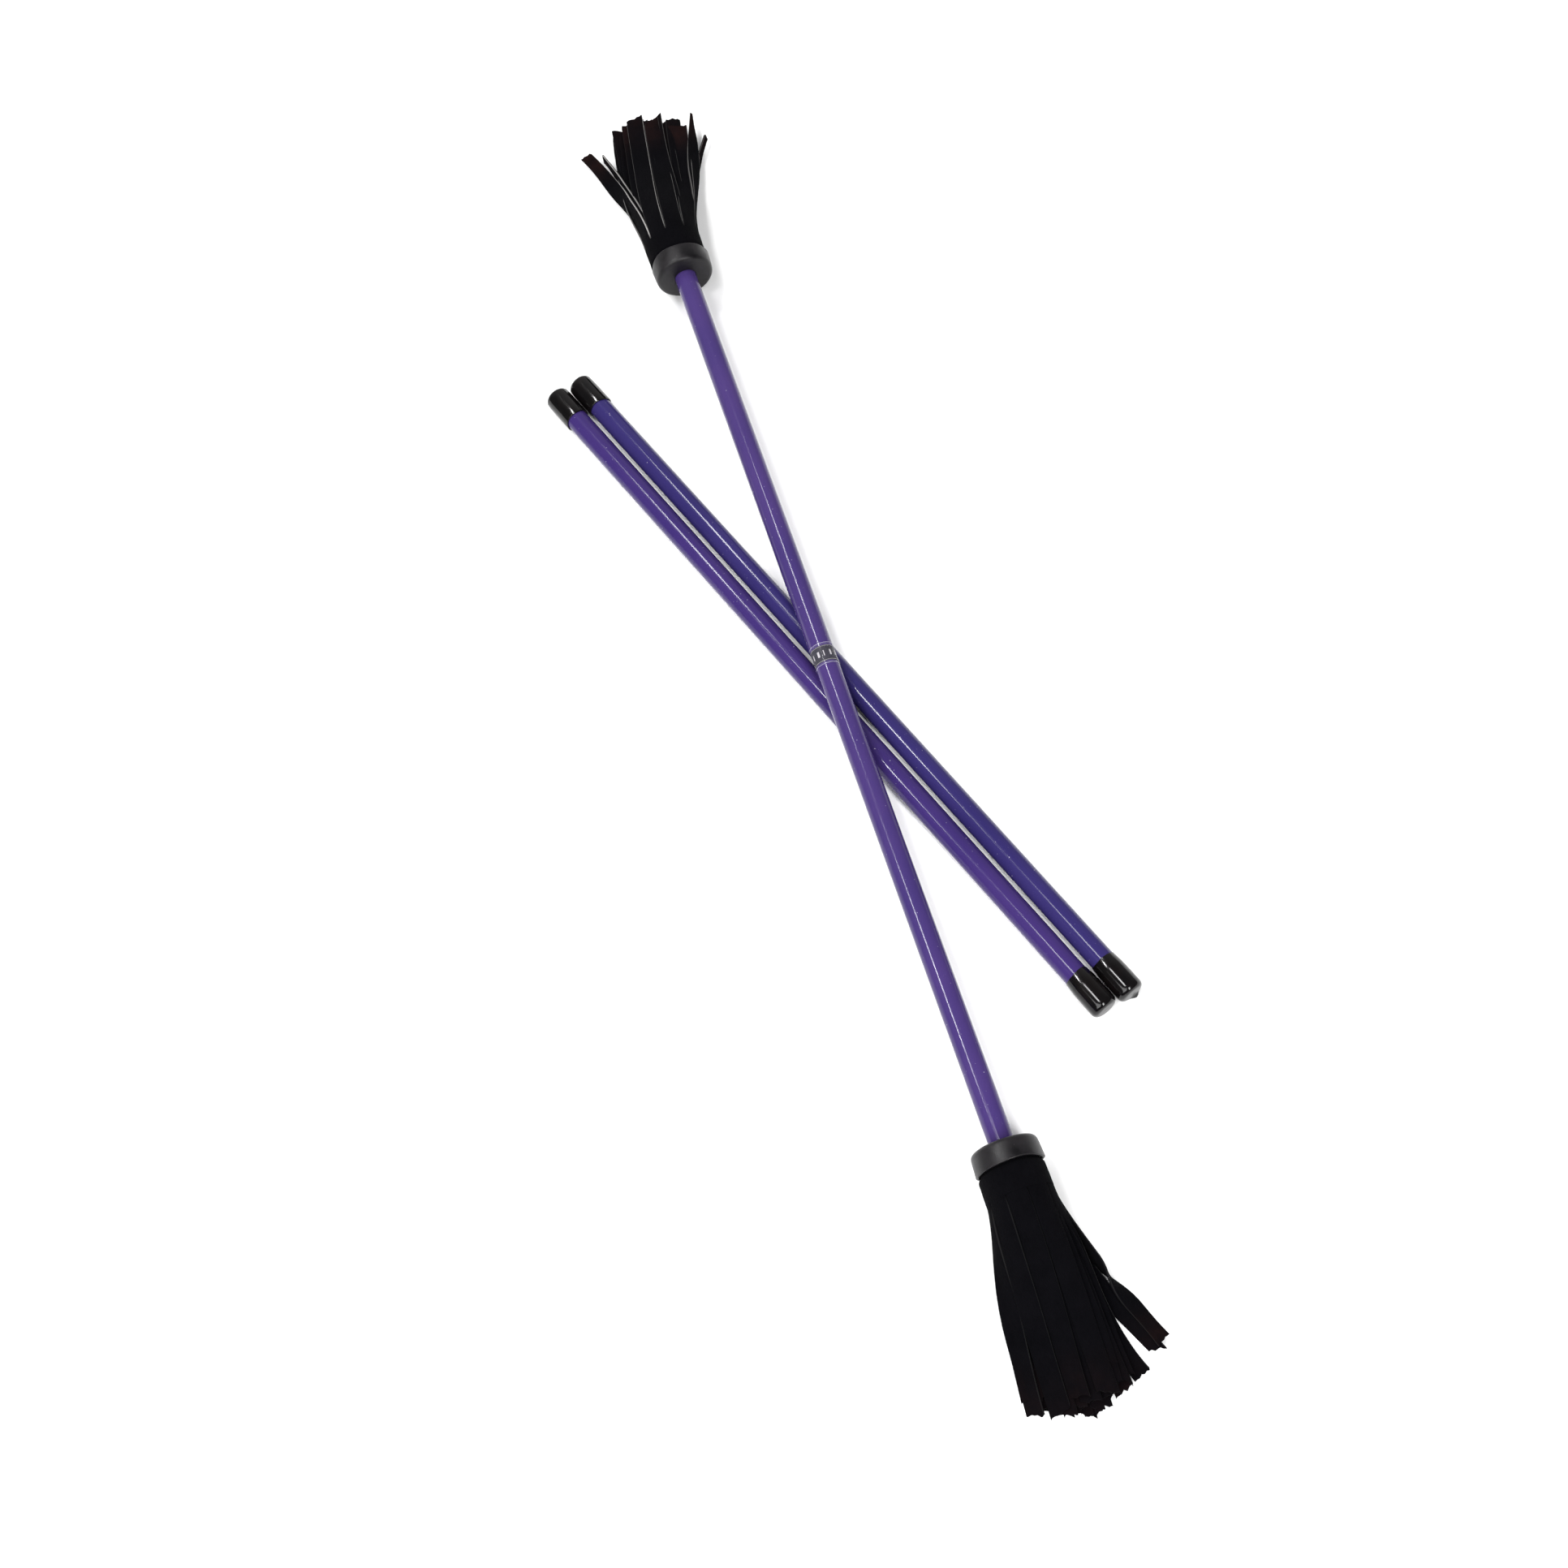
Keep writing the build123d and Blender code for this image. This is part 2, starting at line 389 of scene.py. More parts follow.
# %% [markdown]
# The label is a dark printed wrap under a clear film that is a little longer. Here it carries no
# words: a row of plain pale bars between two faint border lines. The pattern is worked out from
# the angle round the rod and the distance along it, so it needs no image and no unwrapping.

# %% Label print and clear film
label_low, label_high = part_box("label_band")
film_low, film_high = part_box("label_film")
LABEL_MIDDLE = ((label_low.x + label_high.x) / 2, (label_low.y + label_high.y) / 2, AXIS_Z)
LABEL_HALF = (label_high.y - label_low.y) / 2
FILM_HALF = (film_high.y - film_low.y) / 2
BARS_A_RADIAN = 1.91
WIDTHS_A_RADIAN = 0.8  # how often the bars go from narrow to wide
SEAM_ANGLE = 1.15  # radians round the rod


def centred_on_label(tree):
    """Object coordinates counted from the middle of the label; returns x, y and z sockets."""
    place = add_node(tree, "ShaderNodeTexCoord").outputs["Object"]
    moved = add_node(
        tree, "ShaderNodeVectorMath", {"operation": "SUBTRACT"}, i0=place, i1=LABEL_MIDDLE
    ).outputs[0]
    return add_node(tree, "ShaderNodeSeparateXYZ", Vector=moved).outputs


def label_print():
    """Dark wrap: bars of changing width round the rod, and a faint line near each border.

    A bar shows where the fraction of angle x bars a radian is under the bar's share, and that
    share grows with the fraction of angle x widths a radian. The print is worn by noise.
    """
    material, tree, shader = start_material("label_print", 0.5, Specular_IOR_Level=0.2)
    x, y, z = centred_on_label(tree)
    reach = math_node(tree, "ABSOLUTE", y)
    turn = math_node(tree, "ARCTAN2", x, z)
    step = math_node(tree, "FRACT", math_node(tree, "MULTIPLY", turn, BARS_A_RADIAN))
    wide = math_node(tree, "FRACT", math_node(tree, "MULTIPLY", turn, WIDTHS_A_RADIAN))
    bar_share = math_node(tree, "MULTIPLY_ADD", wide, 0.3, 0.12)
    bars = math_node(tree, "LESS_THAN", step, bar_share)
    middle_row = math_node(tree, "LESS_THAN", reach, LABEL_HALF * 0.34)
    border = math_node(tree, "COMPARE", reach, LABEL_HALF * 0.9, LABEL_HALF * 0.03)
    faint_border = math_node(tree, "MULTIPLY", border, 0.45)
    pale = math_node(tree, "MAXIMUM", math_node(tree, "MULTIPLY", bars, middle_row), faint_border)
    wear = math_node(tree, "MULTIPLY_ADD", noise(tree, 900.0), 0.6, 0.55)
    printed = math_node(tree, "MULTIPLY", pale, wear)
    shade = mix_colour(tree, printed, (0.007, 0.0065, 0.011, 1), (0.5, 0.48, 0.5, 1))
    tree.links.new(shade, shader.inputs["Base Color"])
    return material


def clear_film():
    """Clear film: nearly invisible, with milky cut ends and one overlapped seam."""
    material, tree, shader = start_material("clear_film", 0.08, Specular_IOR_Level=0.4)
    x, y, z = centred_on_label(tree)
    reach = math_node(tree, "ABSOLUTE", y)
    ends = math_node(tree, "GREATER_THAN", reach, FILM_HALF * 0.955)
    turn = math_node(tree, "ARCTAN2", x, z)
    seam = math_node(tree, "COMPARE", turn, SEAM_ANGLE, 0.05)
    milky = math_node(tree, "MULTIPLY", math_node(tree, "MAXIMUM", ends, seam), noise(tree, 500.0))
    tree.links.new(math_node(tree, "MULTIPLY_ADD", milky, 0.55, 0.03), shader.inputs["Alpha"])
    shader.inputs["Base Color"].default_value = (0.5, 0.48, 0.6, 1)
    return material


label_finish, film_finish = label_print(), clear_film()
print("label half length", LABEL_HALF, "film half length", FILM_HALF)

# %% [markdown]
# Ten pieces are plain tubes and rods whose CAD shape is already their real one. They only need a
# finish: the material that came with the node is cleared, and the new one takes its slot.

# %% CAD nodes that keep their shape
CAD_FINISH = {
    "baton_sleeve": pale_sleeve,
    "left_hand_stick_sleeve": warm_sleeve,
    "right_hand_stick_sleeve": cool_sleeve,
    "label_band": label_finish,
    "label_film": film_finish,
    "near_binding": tape_finish,
    "far_binding": tape_finish,
    "baton_core": wood_finish,
    "left_hand_stick_core": wood_finish,
    "right_hand_stick_core": wood_finish,
}
for node_name, finish in CAD_FINISH.items():
    slots = frame["nodes"][node_name].data.materials
    slots.clear()
    slots.append(finish)
print("CAD nodes with a finish", len(CAD_FINISH))

# %% [markdown]
# A dipped cap is made by dipping a rod-shaped form in liquid vinyl. Its end bulges a little and is
# rounded, and its rim is a soft bead on the far caps and thins out on the near ones. Now and then
# a drip stays on the end. A profile is turned about the stick, and a ripple function adds the
# uneven rim and the drip. Two long gentle bends in the wall spread the light along the cap.

# %% Caps
cap_low, cap_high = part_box("left_hand_stick_far_cap")
CAP_RADIUS = (cap_high.z - cap_low.z) / 2
CAP_LENGTH = 21.4 * MM
CAP_END_WALL = 1.4 * MM
CAP_TURNS = 96
SNUG = 0.04 * MM  # radial room round the sleeve
CAP_RIM = {"near": 0.22 * MM, "far": 0.75 * MM}
CAP_NECK = {"near": CAP_RADIUS * 0.985, "far": CAP_RADIUS}
CAP_RIM_ROUND = {"near": 0.09 * MM, "far": 0.32 * MM}
DRIPPING_CAP = ("right", "near")
DRIP_ANGLE, DRIP_HALF_ANGLE = 4.4, 0.42
DRIP_HALF_WIDTH, DRIP_RISE, DRIP_SPREAD = 1.5 * MM, 1.5 * MM, 0.1 * MM


def cap_profile(end):
    """Distance from the closed end (negative towards the rod) and radius, once round the wall."""
    bore = ROD_RADIUS + SNUG
    corners = [
        (0.0, 0.0),
        (-0.12 * MM, CAP_RADIUS * 0.55),
        (-0.3 * MM, CAP_RADIUS * 0.983),
        (-CAP_LENGTH * 0.3, CAP_RADIUS),
        (-CAP_LENGTH * 0.72, CAP_NECK[end]),
        (-CAP_LENGTH, bore + CAP_RIM[end]),
        (-CAP_LENGTH, bore),
        (-CAP_END_WALL, bore),
        (-CAP_END_WALL, 0.0),
    ]
    end_rounds = [0, 2.0 * MM, 2.6 * MM]
    wall_bends = [150 * MM, 40 * MM]
    rim_rounds = [CAP_RIM_ROUND[end]] * 2
    inside_rounds = [0.3 * MM, 0]
    return rounded_profile(corners, end_rounds + wall_bends + rim_rounds + inside_rounds)


def cap_ripple(phase, drip):
    """Moves the rim by a slow wave round the rod, and may raise a drip on the edge of the end.

    The rim's wave is a sum of two sines of the angle, and fades out towards the closed end. The
    drip is a bell: e to the minus (angle off squared + radius off squared), each over its width,
    and it fades out within 4 mm of the closed end.
    """

    def ripple(along, radius, angle):
        near_rim = smooth_step((-along / CAP_LENGTH - 0.6) / 0.4)
        wave = 0.45 * np.sin(angle + phase) + 0.2 * np.sin(3 * angle + 2 * phase)
        along = along + near_rim * wave * MM
        outer = smooth_step((radius - CAP_RADIUS * 0.9) / (CAP_RADIUS * 0.08))
        radius = radius + outer * 0.05 * MM * np.sin(2 * angle + phase)
        if drip:
            angle_off = np.angle(np.exp(1j * (angle - DRIP_ANGLE))) / DRIP_HALF_ANGLE
            radius_off = (radius - CAP_RADIUS * 0.8) / DRIP_HALF_WIDTH
            lump = np.exp(-(angle_off**2) - radius_off**2)
            lump = lump * smooth_step((along + 4 * MM) / (3.5 * MM))
            along = along + lump * DRIP_RISE
            radius = radius + lump * DRIP_SPREAD
        return along, radius

    return ripple


for i, (mount, mounted) in enumerate(sorted(cap_mounts.items())):
    side, end = mount.split("_")[:2]
    node_name = f"{side}_hand_stick_{end}_cap"
    ripple = cap_ripple(phase=1.9 * i + 0.4, drip=(side, end) == DRIPPING_CAP)
    points = turned_surface(cap_profile(end), mounted["pos_m"], mounted["axis"], CAP_TURNS, ripple)
    rows, turns = points.shape[:2]
    points = points.reshape(-1, 3)
    quads = grid_quads(rows, turns, closed_columns=True)[:, ::-1]
    cap = make_piece(node_name + "_skin", points, quads, side + "_hand_stick", [node_name])
    cap.data.materials.append(cap_finish)

# %% [markdown]
# A rubber cup is turned like a cap, but it is open on the tassel's side. Its lip flares a little,
# has worn unevenly, and so gets a slow wave. Inside, the wall goes back to the closed end, where a
# hole lets the sleeve through, so the profile is a closed ring.

# %% Cups
CUP_BACK_RADIUS = 15.85 * MM
CUP_LIP_RADIUS = (cup_boxes["far"][1].x - cup_boxes["far"][0].x) / 2
CUP_BORE = 14.9 * MM
CUP_END_WALL = 2.0 * MM
CUP_HOLE = ROD_RADIUS + SNUG
CUP_SWELL = 0.35 * MM
CUP_TURNS = 128
cup_corners = [
    (0.0, CUP_HOLE),
    (0.0, CUP_BACK_RADIUS),
    (CUP_LENGTH * 0.45, CUP_BACK_RADIUS + CUP_SWELL),
    (CUP_LENGTH, CUP_LIP_RADIUS),
    (CUP_LENGTH, CUP_BORE),
    (CUP_END_WALL, CUP_BORE),
    (CUP_END_WALL, CUP_HOLE),
]
cup_radii = [0.25 * MM, 2.5 * MM, 9 * MM, 0.55 * MM, 0.5 * MM, 0.6 * MM, 0.3 * MM]
cup_profile = rounded_profile(cup_corners, cup_radii)


def cup_ripple(phase):
    """Waves the lip by two slow sines, a little back on the whole, and draws the wall in by a third."""

    def ripple(along, radius, angle):
        near_lip = smooth_step((along / CUP_LENGTH - 0.55) / 0.45)
        wave = 0.32 * np.sin(3 * angle + phase) + 0.2 * np.sin(5 * angle - 2 * phase)
        along = along + near_lip * (wave - 0.3) * MM
        outer = smooth_step((radius - CUP_BORE) / (0.8 * MM))
        radius = radius + outer * 0.09 * MM * (np.sin(2 * angle + 2 * phase) - 1)
        return along, radius

    return ripple


for end, sign in END_SIGN.items():
    start = (AXIS_X, LIP_Y[end] - sign * CUP_LENGTH, AXIS_Z)
    points = turned_surface(cup_profile, start, (0, sign, 0), CUP_TURNS, cup_ripple(0.7 + sign))
    rows, turns = points.shape[:2]
    quads = grid_quads(rows, turns, closed_rows=True, closed_columns=True)[:, ::-1]
    cup = make_piece(end + "_cup_skin", points.reshape(-1, 3), quads, "baton", [end + "_cup"])
    cup.data.materials.append(cup_finish)

# %% [markdown]
# Each tassel is one strip of suede. It was slit into strands along one side, rolled up on the end
# of the dowel, bound with tape and pushed into the cup. So the uncut side is a spiral sheet, and
# each strand starts on that spiral and then drops, flattens and fans out on the table. The strip's
# length follows from the roll: it is the area of the spiral divided by the pitch of its turns.

# %% The suede strip and its spiral
SUEDE = 1.3 * MM
PITCH = 1.38 * MM  # from one turn of the roll to the next
STRANDS = 40
BAND_OUT = 13.0 * MM  # the uncut band reaches this far out of the cup
BAND_IN = 8.9 * MM  # and this far into it
core_low, core_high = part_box("baton_core")
roll_low, roll_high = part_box("far_roll")
INNER_TURN = (core_high.x - core_low.x) / 2 + 0.06 * MM + SUEDE / 2
OUTER_TURN = (roll_high.x - roll_low.x) / 2 - SUEDE / 2
TURNS = (OUTER_TURN - INNER_TURN) / PITCH
STRIP_LENGTH = math.pi * TURNS * (INNER_TURN + OUTER_TURN)
STRAND_WIDTH = STRIP_LENGTH / STRANDS


def spiral(share, seam):
    """Radius and angle on the spiral at a share of the strip's length, from the inside out.

    The radius grows evenly with the angle, so the length used up goes with its square: the radius
    is the root of inner squared + share x (outer squared - inner squared). The angle is counted
    back from the seam by one full turn for each pitch that the radius falls short.
    """
    radius = np.sqrt(INNER_TURN**2 + share * (OUTER_TURN**2 - INNER_TURN**2))
    return radius, math.radians(seam) - 2 * np.pi * (OUTER_TURN - radius) / PITCH


def flare(out):
    """Swelling of the roll: 1 inside the cup, 1.15 just past its lip, and 1.162 at its end."""
    past_lip = smooth_step((out + 1.4 * MM) / (3.6 * MM))
    return 1 + 0.15 * past_lip + 0.012 * smooth_step(out / BAND_OUT)


def ribbon_quads(rows, ring, ribbons=1):
    """Quads of closed ribbons, each a stack of rings: the sides, then a lid on both ends.

    A ring runs over the top from left to right and back underneath, so point i of the top lies
    over point ring - 1 - i of the underside, and the lids join those pairs.
    """
    sides = grid_quads(rows, ring, closed_columns=True)
    i = np.arange(ring // 2 - 1)
    lid = np.stack([i, i + 1, ring - 2 - i, ring - 1 - i], -1)
    one = np.concatenate([sides[:, ::-1], lid, (lid + (rows - 1) * ring)[:, ::-1]])
    starts = np.arange(ribbons)[:, None, None] * (rows * ring)
    return (one[None] + starts).reshape(-1, 4)


print("strip", round(STRIP_LENGTH, 4), "m in", round(TURNS, 2), "turns, strands of", round(STRAND_WIDTH, 5))


# %% The uncut band
def band_points(seam, samples=260, rows=26):
    """Points of the rolled band: (across, out from the lip, up) from the axis, row by row.

    Each row is the spiral's outer face and then its inner face backwards. The radius is that of
    the spiral plus or minus half the suede, times the flare, with a slow ripple past the lip.
    """
    share = np.linspace(0, 1, samples)
    radius, angle = spiral(share, seam)
    angle = np.concatenate([angle, angle[::-1]])[None]
    radius = np.concatenate([radius + SUEDE / 2, radius[::-1] - SUEDE / 2])[None]
    out = np.linspace(-BAND_IN, BAND_OUT, rows)[:, None]
    past_lip = smooth_step(out / (6 * MM))
    ripple = 0.16 * MM * past_lip * np.sin(3 * angle + seam) * np.sin(out / (5 * MM) + angle)
    radius = radius * flare(out) + ripple
    out = out + 0 * angle
    return np.stack([radius * np.cos(angle), out, radius * np.sin(angle)], -1)


print("band points", band_points(seam=0).shape)

# %% [markdown]
# A strand is a flat ribbon whose section is carried along a path. At its root it has the place,
# angle and curve of the spiral. At its tip it lies in a flattened pile: each turn of the spiral
# has become an upper and a lower layer, like the skins of an onion pressed flat. Everything
# between comes from blending those two, and a seeded random number gives each strand its own
# length, sway and twist. A few strands stray from the pile, and they are listed.

# %% How each tassel lies
# Millimetres and degrees. The seam is the angle where the strip's outer end lies. The pile of tips
# has a middle and a half width, and its length is the reach in the middle, the gain towards the
# right and the gain towards both sides. The two powers bend the paths on the left and on the
# right, edges are the faintest and the brightest cut edge, and worn is how brown the tips get.
# A stray is counted in strands from the outer end of the strip, and has its tip's place (across,
# up, out), its facing, its width share, the power of its path, the two shares of its length
# between which it turns, and how bright its cut edge is. One under half as wide ends in a point.
TASSELS = {
    "near": {
        "seed": 11,
        "seam": 270,
        "middle": -2.8,
        "half_width": 26.5,
        "length": (105.5, 1.0, -9.0),
        "powers": (0.53, 2.5),
        "edges": (0.0, 0.05),
        "worn": 0.25,
        "strays": {
            7: (38.0, 4.4, 88.5, 76, 0.66, 1.35, 0.45, 0.8, 0.1),
            8: (34.0, 2.2, 91.5, 112, 0.8, 1.35, 0.0, 0.6, 0.05),
            6: (23.0, 3.4, 100.0, 84, 0.8, 3.6, 0.0, 0.5, 0.08),
        },
    },
    "far": {
        "seed": 5,
        "seam": 249,
        "middle": 10.5,
        "half_width": 20.5,
        "length": (112.0, -7.5, -4.5),
        "powers": (1.85, 1.15),
        "edges": (0.45, 0.95),
        "worn": 0.6,
        "strays": {
            2: (-29.8, 4.6, 107.0, 106, 0.72, 2.45, 0.42, 0.85, 1.0),
            11: (-20.2, 6.5, 99.5, 165, 0.48, 3.4, 0.0, 0.7, 0.7),
            5: (26.3, 11.0, 101.0, 84, 1.05, 1.15, 0.0, 0.6, 0.5),
            6: (36.8, 9.5, 108.0, 66, 0.49, 1.2, 0.2, 0.9, 1.0),
            7: (39.0, 6.0, 91.5, 8, 0.46, 1.55, 0.0, 0.6, 0.5),
        },
    },
}
STRAY_KEYS = ["across", "height", "out", "facing", "width", "power", "turn_from", "turn_to", "edge"]
STRAY_UNITS = {"across": MM, "height": MM, "out": MM, "facing": math.radians(1)}
PILE_MIDDLE = 8.0 * MM
LAYER_STEP = 1.35  # millimetres from one layer of the pile to the next
LOWEST_TIP = 1.4 * MM
TURNED_BY = 0.62  # share of the length by which a strand has turned to its tip's facing


def strand_tips(plan, chance):
    """Where each strand starts and ends, as a dictionary of arrays with one value per strand.

    A strand's angle on the spiral, folded from a circle to a line, says how far across the pile
    its tip lies, and the turns inside its own say how far above or below the pile's middle. The
    length is a quadratic curve across the pile. Normal random numbers are added to the tip's
    place, length and facing, and each stray then gets its own values.
    """
    radius, angle = spiral((np.arange(STRANDS) + 0.5) / STRANDS, plan["seam"])
    turn = (OUTER_TURN - radius) / PITCH
    upper = np.sign(np.sin(angle))
    across = 1 - 2 * np.arccos(np.cos(angle)) / np.pi
    wide = plan["half_width"] * (radius / OUTER_TURN) ** 0.8
    lift = (TURNS - turn - 0.5) * LAYER_STEP * np.sqrt(np.maximum(np.abs(np.sin(angle)), 0.12))
    base, lean, fall = plan["length"]
    first, last = plan["powers"]
    low, high = plan["edges"]
    bright = np.where(turn < 1.05, 1.0, 0.2)  # cut edges show mostly on the outer turn
    tips = {
        "radius": radius,
        "angle": angle,
        "across": (plan["middle"] + across * wide + chance.normal(0, 0.9, STRANDS)) * MM,
        "height": PILE_MIDDLE + (upper * lift + chance.normal(0, 0.25, STRANDS)) * MM,
        "out": (base + lean * across + fall * across**2 + chance.normal(-0.5, 2.4, STRANDS)) * MM,
        "facing": np.pi / 2 * upper - upper * across * 0.3 + chance.normal(0, 0.13, STRANDS),
        "width": chance.uniform(0.86, 1.0, STRANDS),
        "power": first + (last - first) * (across + 1) / 2,
        "turn_from": np.zeros(STRANDS),
        "turn_to": np.full(STRANDS, TURNED_BY),
        "edge": chance.uniform(low, high, STRANDS) * bright,
    }
    for strand, values in plan["strays"].items():
        for key, value in zip(STRAY_KEYS, values):
            tips[key][STRANDS - 1 - strand] = value * STRAY_UNITS.get(key, 1)
    tips["height"] = np.maximum(tips["height"], LOWEST_TIP)
    return tips


for end, plan in TASSELS.items():
    tips = strand_tips(plan, np.random.default_rng(plan["seed"]))
    print(end, "tips reach", round(float(tips["out"].max()), 4), "m past the lip")


# %% The strands
STRAND_ROWS = 32
STRAND_ACROSS = np.array([-1, -0.945, -0.66, -0.33, 0, 0.33, 0.66, 0.945, 1])
RING = 2 * len(STRAND_ACROSS)
ROOT_IN = 1.2 * MM  # a strand starts this far inside the band's edge
PATH_SOFT = 0.06  # share of the length over which a path's power is softened
DROPPED_BY = 0.78  # share of the length by which a strand lies at its tip's height
SETTLED_BY = 0.4  # and by which its section has lost the spiral's curve
POINTED_FROM = 0.8  # a strand that ends in a point narrows from here
POINTED_LOSS = 0.75  # and loses this share of its width
SLIT_LOSS = 0.985  # width of a strand as a share of its part of the strip
WORN_THIN = 0.97  # thickness of a strand as a share of the strip's
EDGE_THICKNESS = 0.7  # and what is left of that at its two sides
LEAST_CURVE = 1e-3  # keeps a flat section's radius finite
LOWEST_POINT = 0.35 * MM


def strand_points(plan):
    """Points and two masks of all strands, as arrays of strand x row x ring point.

    With t from 0 at the root to 1 at the tip, the middle line goes from the spiral to the tip:
    across by a softened power of t, and down by a smooth step that ends at about three quarters.
    The section is an arc whose curve fades from the spiral's to a slight cupping, whose width goes
    to the tip's share, and whose facing turns from the spiral's to the tip's. Slow waves are added
    in proportion to t. The end is cut at a slant and a little torn, by t to the ninth power. The
    masks are the pale cut edge along the two sides of the outer face, painted fully lit on the left
    side and a quarter as bright on the right as painted shade, and brown towards the tip.
    """
    chance = np.random.default_rng(plan["seed"])
    tips = {key: value[:, None] for key, value in strand_tips(plan, chance).items()}

    def drawn(low, high):
        return chance.uniform(low, high, (STRANDS, 1))

    def path(v):
        return (v * v + PATH_SOFT**2) ** (tips["power"] / 2) - PATH_SOFT ** tips["power"]

    def slow_wave(frequency, size):
        return t * np.sin(t * drawn(*frequency) + drawn(0, 6.3)) * drawn(*size)

    t = np.linspace(0, 1, STRAND_ROWS)[None] ** 1.15
    share = path(t) / path(1.0)
    start = BAND_OUT - ROOT_IN
    out = start + (tips["out"] - start) * t
    wide_root = tips["radius"] * flare(start)
    drop = smooth_step(t / DROPPED_BY)
    sway = slow_wave((3, 7), (0, 1)) * MM
    x = wide_root * np.cos(tips["angle"]) * (1 - share) + tips["across"] * share + sway
    z = (AXIS_Z + wide_root * np.sin(tips["angle"])) * (1 - drop) + tips["height"] * drop
    z = z + slow_wave((4, 9), (0.1, 0.5)) * MM
    turn_by = np.angle(np.exp(1j * (tips["facing"] - tips["angle"])))
    turned = smooth_step((t - tips["turn_from"]) / (tips["turn_to"] - tips["turn_from"]))
    facing = tips["angle"] + turn_by * turned
    facing = facing + slow_wave((4, 8), (0.02, 0.16))

    settle = smooth_step(t / SETTLED_BY)
    curve = (1 - settle) / wide_root + settle * drawn(-0.03, 0.045) / MM + LEAST_CURVE
    taper = 1 + (tips["width"] - 1) * smooth_step((t - 0.45) / 0.5)
    pointed = np.where(tips["width"] < 0.5, POINTED_LOSS, 0.0)
    taper = taper * (1 - pointed * np.clip((t - POINTED_FROM) / (1 - POINTED_FROM), 0, 1))
    half = STRAND_WIDTH / 2 * SLIT_LOSS * taper * flare(start)
    across = np.concatenate([STRAND_ACROSS, STRAND_ACROSS[::-1]])
    on_outer = np.arange(RING) < RING // 2
    on_side = np.abs(across) == 1
    face = np.where(on_outer, 1.0, -1.0) * np.where(on_side, EDGE_THICKNESS, 1.0)
    arc = half[..., None] * across
    bent = arc * curve[..., None]
    along = np.sin(bent) / curve[..., None]
    lifted = (np.cos(bent) - 1) / curve[..., None] + face * SUEDE / 2 * WORN_THIN
    sine, cosine = np.sin(facing)[..., None], np.cos(facing)[..., None]

    at_tip = t[..., None] ** 9
    slant = (drawn(-2.6, 2.6) * MM)[..., None] * across * at_tip
    torn = chance.normal(0, 0.45 * MM, (STRANDS, 1, RING // 2))
    torn = np.concatenate([torn, torn[..., ::-1]], -1) * at_tip
    points = np.stack(
        [
            x[..., None] + along * -sine + lifted * cosine,
            out[..., None] + slant + torn,
            np.maximum(z[..., None] + along * cosine + lifted * sine, LOWEST_POINT),
        ],
        -1,
    )
    # Painted light: a strand's pale cut edge is painted fully lit on its left side, and the edge on its
    # right side is kept at a quarter as painted shade.
    cut_edges_lit_left_shaded_right = np.where(on_side & on_outer, np.where(across < 0, 1.0, 0.25), 0.0)
    cut_edge_and_painted_light = cut_edges_lit_left_shaded_right * (tips["edge"] * smooth_step(t * 12))[..., None]
    brown = smooth_step((t[..., None] - 0.72) / 0.3) * drawn(0.25, 1.0)[..., None] + 0 * across
    brown = brown * plan["worn"]
    return points, cut_edge_and_painted_light, brown


for end, plan in TASSELS.items():
    points = strand_points(plan)[0]
    print(end, "strand points", points.shape, "width", round(float(np.ptp(points[..., 0])), 4), "m")

# %% [markdown]
# Suede is the flesh side of leather. It scatters light from a short nap, so it is very rough, has
# hardly any sheen and no clear highlight. The dye doesn't reach the middle of the skin: a cut edge
# shows pale, and worn tips turn brown. Light is painted onto the cut edges too: the left sides are
# painted lit, and the right sides are dimmer as painted shade. Two attributes on the strands' points
# say where.

# %% Suede
def suede_material():
    """Nap from fine stretched noise, a mottled dye, pale cut edges with painted light and shade, and brown
    tips.
    """
    material, tree, shader = start_material(
        "suede", 0.95, Specular_IOR_Level=0.02, Sheen_Weight=0.004, Sheen_Roughness=0.6
    )
    mottle = place_group(tree, CLOUDS, Size=85.0, Contrast=2.4)
    nap = noise(tree, 650.0, 4.0, 0.65, (1, 0.45, 1))
    dyed = mix_colour(tree, mottle, (0.0008, 0.0008, 0.0012, 1), (0.0017, 0.0016, 0.0023, 1))
    dyed = mix_colour(tree, math_node(tree, "MULTIPLY", nap, 0.55), dyed, (0.0036, 0.0034, 0.0045, 1))
    tip = add_node(tree, "ShaderNodeAttribute", {"attribute_name": "tip"}).outputs["Fac"]
    tip_wear = math_node(tree, "MULTIPLY_ADD", noise(tree, 160.0), 1.4, -0.15)
    dyed = mix_colour(tree, math_node(tree, "MULTIPLY", tip, tip_wear), dyed, (0.022, 0.0085, 0.007, 1))
    # The pale cut edge with painted light: brighter on the strands' left sides, dimmer on the right as
    # painted shade.
    cut_edge_and_painted_light = add_node(tree, "ShaderNodeAttribute", {"attribute_name": "cut_edge_and_painted_light"}).outputs["Fac"]
    cut_wear = math_node(tree, "MULTIPLY_ADD", noise(tree, 420.0), 0.5, 0.7)
    shade = mix_colour(tree, math_node(tree, "MULTIPLY", cut_edge_and_painted_light, cut_wear), dyed, (0.42, 0.41, 0.4, 1))
    tree.links.new(shade, shader.inputs["Base Color"])
    add_bump(tree, shader, nap, 0.0005, 0.6)
    return material


suede_finish = suede_material()
print("suede nodes", len(suede_finish.node_tree.nodes))
